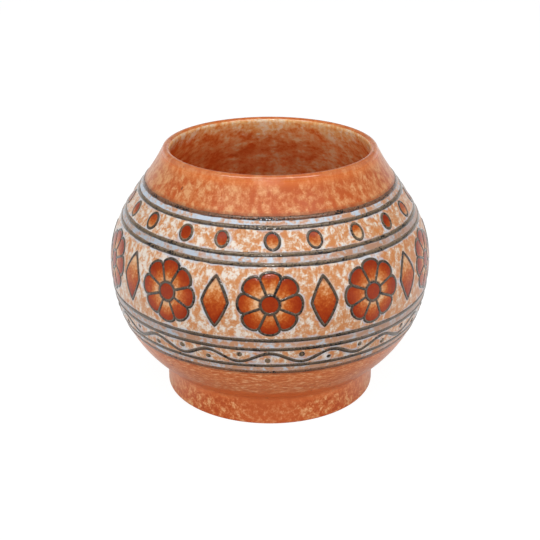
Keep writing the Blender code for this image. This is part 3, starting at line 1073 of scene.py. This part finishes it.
# %% [markdown]
# ## Colours between the lines
# Between the lines the ground is cream, stippled with peach. The narrow gaps inside each pair of lines
# are a bluish white, with more peach in them lower down. The middle pairs are painted greyer towards the
# sides, a painted shade where the light falls off round the pot. Each is noise of two or three scales,
# read through a ramp of a few tints.

# %% Ground and gaps
PAIR_SIDE_SHADE = srgb(116, 118, 122)
GROUND_TINTS = (
    (0.425, srgb(234, 222, 210)),
    (0.472, srgb(220, 187, 160)),
    (0.508, srgb(211, 156, 112)),
    (0.57, srgb(203, 128, 70)),
)
PAIR_TINTS = (
    (0.45, srgb(194, 205, 220)),
    (0.50, srgb(204, 184, 172)),
    (0.56, srgb(198, 140, 100)),
)


def ground_colour(tree, up):
    patches = sponge(tree, 520.0, detail=4.0, stretch=(1.0, 1.0, 0.7), distortion=0.3)
    drift = sponge(tree, 70.0, detail=1.0, shift=0.5)
    value = mix_values(tree, (0.60, patches), (0.30, sponge(tree, 1500.0, shift=0.1)), (0.10, drift))
    across = share_along(tree, "X", BELLY_RADIUS)
    lower = between(tree, up, 0.78, 0.36, 0.0, 0.01)
    return ramp(tree, mix_values(tree, (1.0, value), (0.022, across), (1.0, lower)), *GROUND_TINTS)


def pair_colour(tree, up):
    patches = sponge(tree, 250.0, shift=0.35)
    across = share_along(tree, "X", BELLY_RADIUS)
    lower = between(tree, up, 0.84, 0.64, 0.0, 0.05)
    value = mix_values(tree, (0.55, patches), (0.45, sponge(tree, 700.0, shift=0.15)))
    colour = ramp(tree, mix_values(tree, (1.0, value), (0.05, across), (1.0, lower)), *PAIR_TINTS)
    middle_pairs = calc(tree, "MULTIPLY", between(tree, up, 0.82, 0.78), between(tree, up, 0.36, 0.40))
    # Painted shade: the middle pairs are greyed towards the sides of the pot
    sides = between(tree, calc(tree, "ABSOLUTE", across), 0.15, 0.6, 0.03, 0.30)
    return blend(tree, calc(tree, "MULTIPLY", sides, middle_pairs), colour, PAIR_SIDE_SHADE)


print("tints between the lines:", len(GROUND_TINTS) + len(PAIR_TINTS))

# %% [markdown]
# ## The glaze of the wall
# One material holds all the bands of the wall. It could be cut into a material for each band, but a mask
# on height chooses between the colours as well, and its hard changes hide under the slip lines. Next to
# the slip the pale ground breaks to a cool white halo and the orange is burnt; an attribute named
# slip_gap holds the distance to the nearest slip in millimetres. Lower down, the banded wall is painted
# greyer, a painted shade where less light reaches it. The glaze lies thicker over the front of the lip,
# as a coat.

# %% Wall glaze
HALO = srgb(196, 206, 220)
LOW_WALL_SHADE = srgb(128, 114, 104)
BURNT = srgb(134, 72, 40)
SPECK = srgb(140, 74, 44)
WALL_ROUGHNESS = 0.28
LIP_ROUGHNESS = 0.15
LIP_INDEX = 1.9
LIP_EDGE = (0.978, 0.992)
LIP_CROWN = (0.9985, 0.9965)


def zone(tree, up, belly=0.0, pair=0.0, ground=0.0, shoulder=0.0):
    """A mask: one level for each kind of zone, changing at the heights of the eight lines."""
    levels = (belly, pair, ground, pair, ground, pair, ground, pair, shoulder)
    places = [0.0] + [LINE_HEIGHT[name] / VASE_HEIGHT for name in BAND_LINES[::-1]]
    return ramp(tree, up, *((place, grey(level)) for place, level in zip(places, levels)), steps=True)


def lip_coat(tree, shader, up):
    """Smooths the lip, and lays a clear coat over its front, below the crown."""
    rough = between(tree, up, *LIP_EDGE, WALL_ROUGHNESS, LIP_ROUGHNESS)
    tree.links.new(rough, shader.inputs["Roughness"])
    outer = calc(tree, "MULTIPLY", between(tree, up, *LIP_EDGE), between(tree, up, *LIP_CROWN))
    front = between(tree, share_along(tree, "Y", MOUTH_RADIUS), -0.1, -0.6)
    tree.links.new(calc(tree, "MULTIPLY", outer, front), shader.inputs["Coat Weight"])
    shader.inputs["Coat IOR"].default_value = LIP_INDEX


def wall_glaze():
    skin = (WALL_ROUGHNESS, 0.10 * MM, 0.06 * MM)
    made, tree, shader = new_finish("sponged_orange_glaze", *skin, gloss=0.45)
    up = height_share(tree)
    lip_coat(tree, shader, up)
    colour = blend(tree, zone(tree, up, pair=1.0), ground_colour(tree, up), pair_colour(tree, up))
    gap = attribute(tree, "slip_gap")
    patchy = sponge(tree, 260.0, detail=2.0, shift=0.65)
    near = between(tree, mix_values(tree, (1.0, gap), (3.6, patchy)), 1.5, 2.6, 1.0, 0.0)
    halo = calc(tree, "MULTIPLY", near, zone(tree, up, pair=0.35, ground=0.8))
    colour = blend(tree, halo, colour, HALO)
    # Painted shade: the wall is greyed towards the bottom of the bands
    colour = blend(tree, between(tree, up, 0.80, 0.50, 0.0, 0.14), colour, LOW_WALL_SHADE)
    colour = blend(tree, zone(tree, up, shoulder=1.0), colour, shoulder_colour(tree, up))
    colour = blend(tree, zone(tree, up, belly=1.0), colour, belly_colour(tree, up))
    orange = zone(tree, up, belly=1.0, shoulder=1.0)
    burnt = calc(tree, "MULTIPLY", between(tree, gap, 1.6, 0.3, 0.0, 0.5), orange)
    colour = blend(tree, burnt, colour, BURNT)
    specks = between(tree, sponge(tree, 420.0, detail=0.0, shift=2.9), 0.83, 0.86)
    colour = blend(tree, calc(tree, "MULTIPLY", specks, orange), colour, SPECK)
    tree.links.new(colour, shader.inputs["Base Color"])
    return made


WALL_GLAZE = wall_glaze()
print("wall glaze nodes:", len(WALL_GLAZE.node_tree.nodes))

# %% [markdown]
# ## The glaze of the lining
# The lining was poured: rust with pale clouds and flecks, deeper to the left, thinning to cream in runs
# just under the lip. Towards the sides of the mouth the rust is painted deeper, a painted shade where the
# inside gets less light. A gradient on height alone would end in a straight line, so the runs, noise
# stretched upright, are added to the height, and the cream ends raggedly. The far side of the lip has
# the clear coat, which catches the light.

# %% Lining glaze
FAR_LIP_EDGE = (0.975, 0.99)
LINING_TINTS = (
    (0.40, srgb(218, 98, 34)),
    (0.45, srgb(230, 126, 60)),
    (0.51, srgb(240, 160, 98)),
    (0.59, srgb(248, 210, 158)),
)
CREAM_TINTS = (
    (0.40, srgb(238, 160, 88)),
    (0.50, srgb(246, 196, 132)),
    (0.60, srgb(250, 228, 196)),
)


def lining_glaze():
    made, tree, shader = new_finish("rust_lining_glaze", 0.24, 0.10 * MM, 0.02 * MM)
    up = height_share(tree)
    far = between(tree, share_along(tree, "Y", MOUTH_RADIUS), 0.0, 0.4)
    glossy = calc(tree, "MULTIPLY", between(tree, up, *FAR_LIP_EDGE), far)
    tree.links.new(glossy, shader.inputs["Coat Weight"])
    shader.inputs["Coat IOR"].default_value = LIP_INDEX
    clouds = sponge(tree, 95.0, detail=5.0, distortion=0.5)
    blots = sponge(tree, 230.0, detail=4.0, stretch=(1.0, 1.0, 1.5), shift=0.6)
    flecks = sponge(tree, 620.0, shift=0.2)
    value = mix_values(tree, (0.45, clouds), (0.30, blots), (0.25, flecks))
    across = share_along(tree, "X", MOUTH_RADIUS)
    sides = calc(tree, "ABSOLUTE", across)
    # Painted shade: the lining is made deeper rust towards its sides
    value = mix_values(tree, (1.0, value), (0.045, across), (-0.035, sides))
    colour = ramp(tree, value, *LINING_TINTS)
    runs = sponge(tree, 300.0, stretch=(1.0, 1.0, 0.3), shift=0.4)
    wide = sponge(tree, 45.0, detail=1.0, shift=1.1)
    level = mix_values(tree, (1.0, up), (0.10, runs), (0.16, wide), (0.06, flecks))
    cream = ramp(tree, mix_values(tree, (0.5, runs), (0.5, flecks)), *CREAM_TINTS)
    colour = blend(tree, between(tree, level, 1.07, 1.14, 0.0, 0.9), colour, cream)
    tree.links.new(colour, shader.inputs["Base Color"])
    return made


LINING_GLAZE = lining_glaze()
print("lining glaze nodes:", len(LINING_GLAZE.node_tree.nodes))

# %% [markdown]
# ## The glaze of the foot
# The foot is stippled over a deeper orange. At the front, in the angle under the belly, a smooth deeper
# band is partly glaze that pooled there and partly painted shade. It could share the belly's glaze, but
# its spots are round where the belly's are dragged, so it has its own. The stipple stands in loose
# clusters at the front and fades to a paler, smoother tint towards the sides and the back.

# %% Foot glaze
FOOT_POOLED_SHADE = srgb(216, 115, 60)
FOOT_CENTRE = srgb(198, 98, 50)
FOOT_PALE = srgb(214, 138, 102)
FOOT_TINTS = (
    (0.427, srgb(183, 80, 36)),
    (0.50, srgb(199, 102, 52)),
    (0.553, srgb(213, 135, 82)),
    (0.617, srgb(232, 178, 126)),
)


def foot_glaze():
    made, tree, shader = new_finish("stippled_foot_glaze", 0.34, 0.10 * MM, 0.03 * MM)
    up = height_share(tree)
    back = share_along(tree, "Y", FOOT_RADIUS)
    sides = between(tree, back, -0.9, -0.3)
    spots = sponge(tree, 480.0, distortion=0.4)
    fine = sponge(tree, 1300.0, shift=0.3)
    clusters = sponge(tree, 130.0, detail=1.0, shift=0.7)
    value = mix_values(tree, (0.53, spots), (0.33, fine), (0.14, clusters), (0.06, sides))
    colour = ramp(tree, value, *FOOT_TINTS)
    ragged = mix_values(tree, (1.0, up), (0.05, sponge(tree, 60.0, detail=2.0, shift=0.9)), (0.02, spots))
    front = between(tree, back, -0.5, -0.8)
    # Painted shade at the front of the foot's top, in the angle under the belly, over smooth pooled glaze
    pooled_shade = calc(tree, "MULTIPLY", between(tree, ragged, 0.112, 0.14, 0.0, 0.7), front)
    colour = blend(tree, pooled_shade, colour, FOOT_POOLED_SHADE)
    colour = blend(tree, between(tree, back, -0.93, -0.99, 0.0, 0.5), colour, FOOT_CENTRE)
    smooth = calc(tree, "MULTIPLY", sides, between(tree, ragged, 0.05, 0.125, 0.25, 0.9))
    colour = blend(tree, smooth, colour, FOOT_PALE)
    tree.links.new(colour, shader.inputs["Base Color"])
    return made


FOOT_GLAZE = foot_glaze()
print("foot glaze nodes:", len(FOOT_GLAZE.node_tree.nodes))

# %% [markdown]
# ## The profile of the bowl
# A thrown bowl is one turned profile: up the lining, over the lip, down the wall and in under the floor.
# The lining could be a Solidify modifier on the wall, but then the floor's fillet and the round lip
# would be lost. So the lining is drawn here, the wall's own line set back by a thickness that grows
# below the lip.

# %% Profile of the bowl
WALL_THICKNESS = 4.2 * MM
WALL_BLEND = 30.0 * MM
FLOOR_HEIGHT = 17.3 * MM
FLOOR_FILLET = 8.0 * MM
FLOOR_SHARES = np.array([0.0, 0.3, 0.6, 0.85])
FINE_STEP = 0.8 * MM
LIP_STEPS = 12
LINING_STEPS = 40
FILLET_STEPS = 6
UNDERSIDE_STEPS = 6


def lining_outline():
    """The inside of the wall, from the lip down to the floor's fillet."""
    radius, height, out, rise = wall_at(WALL_DEPTH)
    thickness = np.interp(WALL_DEPTH, [0.0, WALL_BLEND], [LIP_THICKNESS, WALL_THICKNESS])
    points = np.column_stack([radius - out * thickness, height - rise * thickness])
    points = points[points[:, 1] > FLOOR_HEIGHT + FLOOR_FILLET / 2]
    length = run_length(points)
    even = np.linspace(0.0, length[-1], LINING_STEPS + 1)
    return np.column_stack([np.interp(even, length, column) for column in points.T])


def floor_fillet(lining):
    """The rounded corner between the lining and the floor."""
    end = lining[-1]
    direction = lining[-1] - lining[-2]
    corner = end + direction * (FLOOR_HEIGHT - end[1]) / direction[1]
    flat = corner - [FLOOR_FILLET, 0.0]
    return bezier(end, (end + 2 * corner) / 3, (flat + 2 * corner) / 3, flat, FILLET_STEPS)


def lip_round():
    """The half circle over the lip, from the lining to the outside."""
    radius, height, out, rise = wall_at(0.0)
    turn = math.pi * (1 - np.arange(1, LIP_STEPS) / LIP_STEPS)
    outward = LIP_THICKNESS / 2 * (np.cos(turn) - 1)
    upward = LIP_THICKNESS / 2 * np.sin(turn)
    return np.column_stack([radius + out * outward - rise * upward, height + rise * outward + out * upward])


def bowl_profile():
    """Points from the middle of the floor to the middle of the underside; inside is 1 on the lining."""
    lining = lining_outline()
    fillet = floor_fillet(lining)
    flat = np.column_stack([FLOOR_SHARES * fillet[-1][0], np.full(len(FLOOR_SHARES), FLOOR_HEIGHT)])
    lined = np.concatenate([flat, fillet[::-1], lining[-2::-1]])
    radius, height = wall_at(np.linspace(0.0, WALL_DEPTH[-1], int(WALL_DEPTH[-1] / FINE_STEP) + 1))[:2]
    under = FOOT_RADIUS * (1.0 - np.arange(1, UNDERSIDE_STEPS + 1) / UNDERSIDE_STEPS)
    underside = np.column_stack([under, np.full(UNDERSIDE_STEPS, FOOT_HEIGHT)])
    outside = np.concatenate([lip_round(), np.column_stack([radius, height]), underside])
    inner_lip = LIP_STEPS // 3
    inside = np.concatenate([np.ones(len(lined) + inner_lip), np.zeros(len(outside) - inner_lip)])
    return np.concatenate([lined, outside]), inside


print("profile points:", len(bowl_profile()[1]))

# %% [markdown]
# ## The glazed bowl
# The profile is spun with many steps, because the halo along each slip line is stored on the bowl's
# points. The halo could not be left to the material alone, because no node there knows where the other
# pieces are. So for each point, a search tree over all the trails gives the distance to the nearest
# slip.

# %% Bowl
TURN_STEPS = 440
GAP_LIMIT = 6.0


def spin_round(bm, chain, closed=False):
    """Joins points into a profile and spins it once round the pot's axis."""
    edges = [bm.edges.new(pair) for pair in neighbours(chain, closed)]
    bmesh.ops.spin(
        bm,
        geom=chain + edges,
        cent=(0, 0, 0),
        axis=(0, 0, 1),
        angle=2 * math.pi,
        steps=TURN_STEPS,
        use_merge=True,
    )
    bmesh.ops.remove_doubles(bm, verts=bm.verts, dist=MERGE)


def slip_gaps(points):
    """Distance in millimetres from each point to the nearest trail."""
    everything = bmesh.new()
    for trail in trails:
        everything.from_mesh(trail.data)
    tree = BVHTree.FromBMesh(everything)
    everything.free()
    gaps = [tree.find_nearest(Vector(point), GAP_LIMIT * MM)[3] for point in points]
    return np.array([GAP_LIMIT if gap is None else gap / MM for gap in gaps], np.float32)


def bowl():
    bm = bmesh.new()
    inside = bm.verts.layers.float.new("inside")
    chain = []
    for (radius, height), lined in zip(*bowl_profile()):
        vert = bm.verts.new((radius, 0.0, height))
        vert[inside] = lined
        chain.append(vert)
    spin_round(bm, chain)
    for face in bm.faces:
        face.material_index = 1 if min(vert[inside] for vert in face.verts) > 0.5 else 0
    piece = make_piece("glazed_bowl", bm, [WALL_GLAZE, LINING_GLAZE], "body_glaze", "vase_body")
    points = np.empty(len(piece.data.vertices) * 3, np.float32)
    piece.data.vertices.foreach_get("co", points)
    gap = piece.data.attributes.new("slip_gap", "FLOAT", "POINT")
    gap.data.foreach_set("value", slip_gaps(points.reshape(-1, 3)))
    return piece


glazed_bowl = bowl()
print("bowl faces:", len(glazed_bowl.data.polygons))

# %% [markdown]
# ## The foot
# The foot is a plain ring, thrown and luted on with slip. Two cylinders, one cut from the other, could
# make it, but a spun profile gives the undercut as well. Its two lower edges are bevelled, as a wet
# sponge rounds them. Its top outer corner is drawn up onto the belly, where the luting slip and the
# glaze fill the angle.

# %% Foot
FOOT_WALL = 6.2 * MM
FOOT_EDGE = 0.7 * MM
FOOT_UNDERCUT = 0.8 * MM
FILL_REACH = 1.6 * MM
FILL_STEPS = 8
EDGE_STEPS = 6


def foot():
    inner = FOOT_RADIUS - FOOT_WALL
    up_wall = np.array([float(value) for value in wall_at(WALL_DEPTH[-1] - FILL_REACH)[:2]])
    corner = np.array([FOOT_RADIUS, FOOT_HEIGHT])
    low = corner - [0.0, FILL_REACH]
    cove = bezier(low, (low + 2 * corner) / 3, (up_wall + 2 * corner) / 3, up_wall, FILL_STEPS)
    profile = [(FOOT_RADIUS, 0.0), *cove, (FOOT_RADIUS - FOOT_WALL / 4, FOOT_HEIGHT)]
    profile += [(inner - FOOT_UNDERCUT, FOOT_HEIGHT), (inner, 0.0)]
    bm = bmesh.new()
    spin_round(bm, [bm.verts.new((radius, 0.0, height)) for radius, height in profile], closed=True)
    low_edges = [edge for edge in bm.edges if max(abs(vert.co.z) for vert in edge.verts) < MERGE]
    reaches = ([vert.co.xy.length for vert in edge.verts] for edge in low_edges)
    rings = [edge for edge, reach in zip(low_edges, reaches) if abs(reach[0] - reach[1]) < MERGE]
    bmesh.ops.bevel(
        bm,
        geom=rings,
        offset=FOOT_EDGE,
        offset_type="OFFSET",
        affect="EDGES",
        segments=EDGE_STEPS,
        profile=0.5,
        material=-1,
    )
    return make_piece("glazed_foot", bm, [FOOT_GLAZE], "foot_glaze", "foot_ring")


glazed_foot = foot()
print("foot faces:", len(glazed_foot.data.polygons))

# %% [markdown]
# ## Finish
# The view layer is brought up to date.

# %% Finish
bpy.context.view_layer.update()
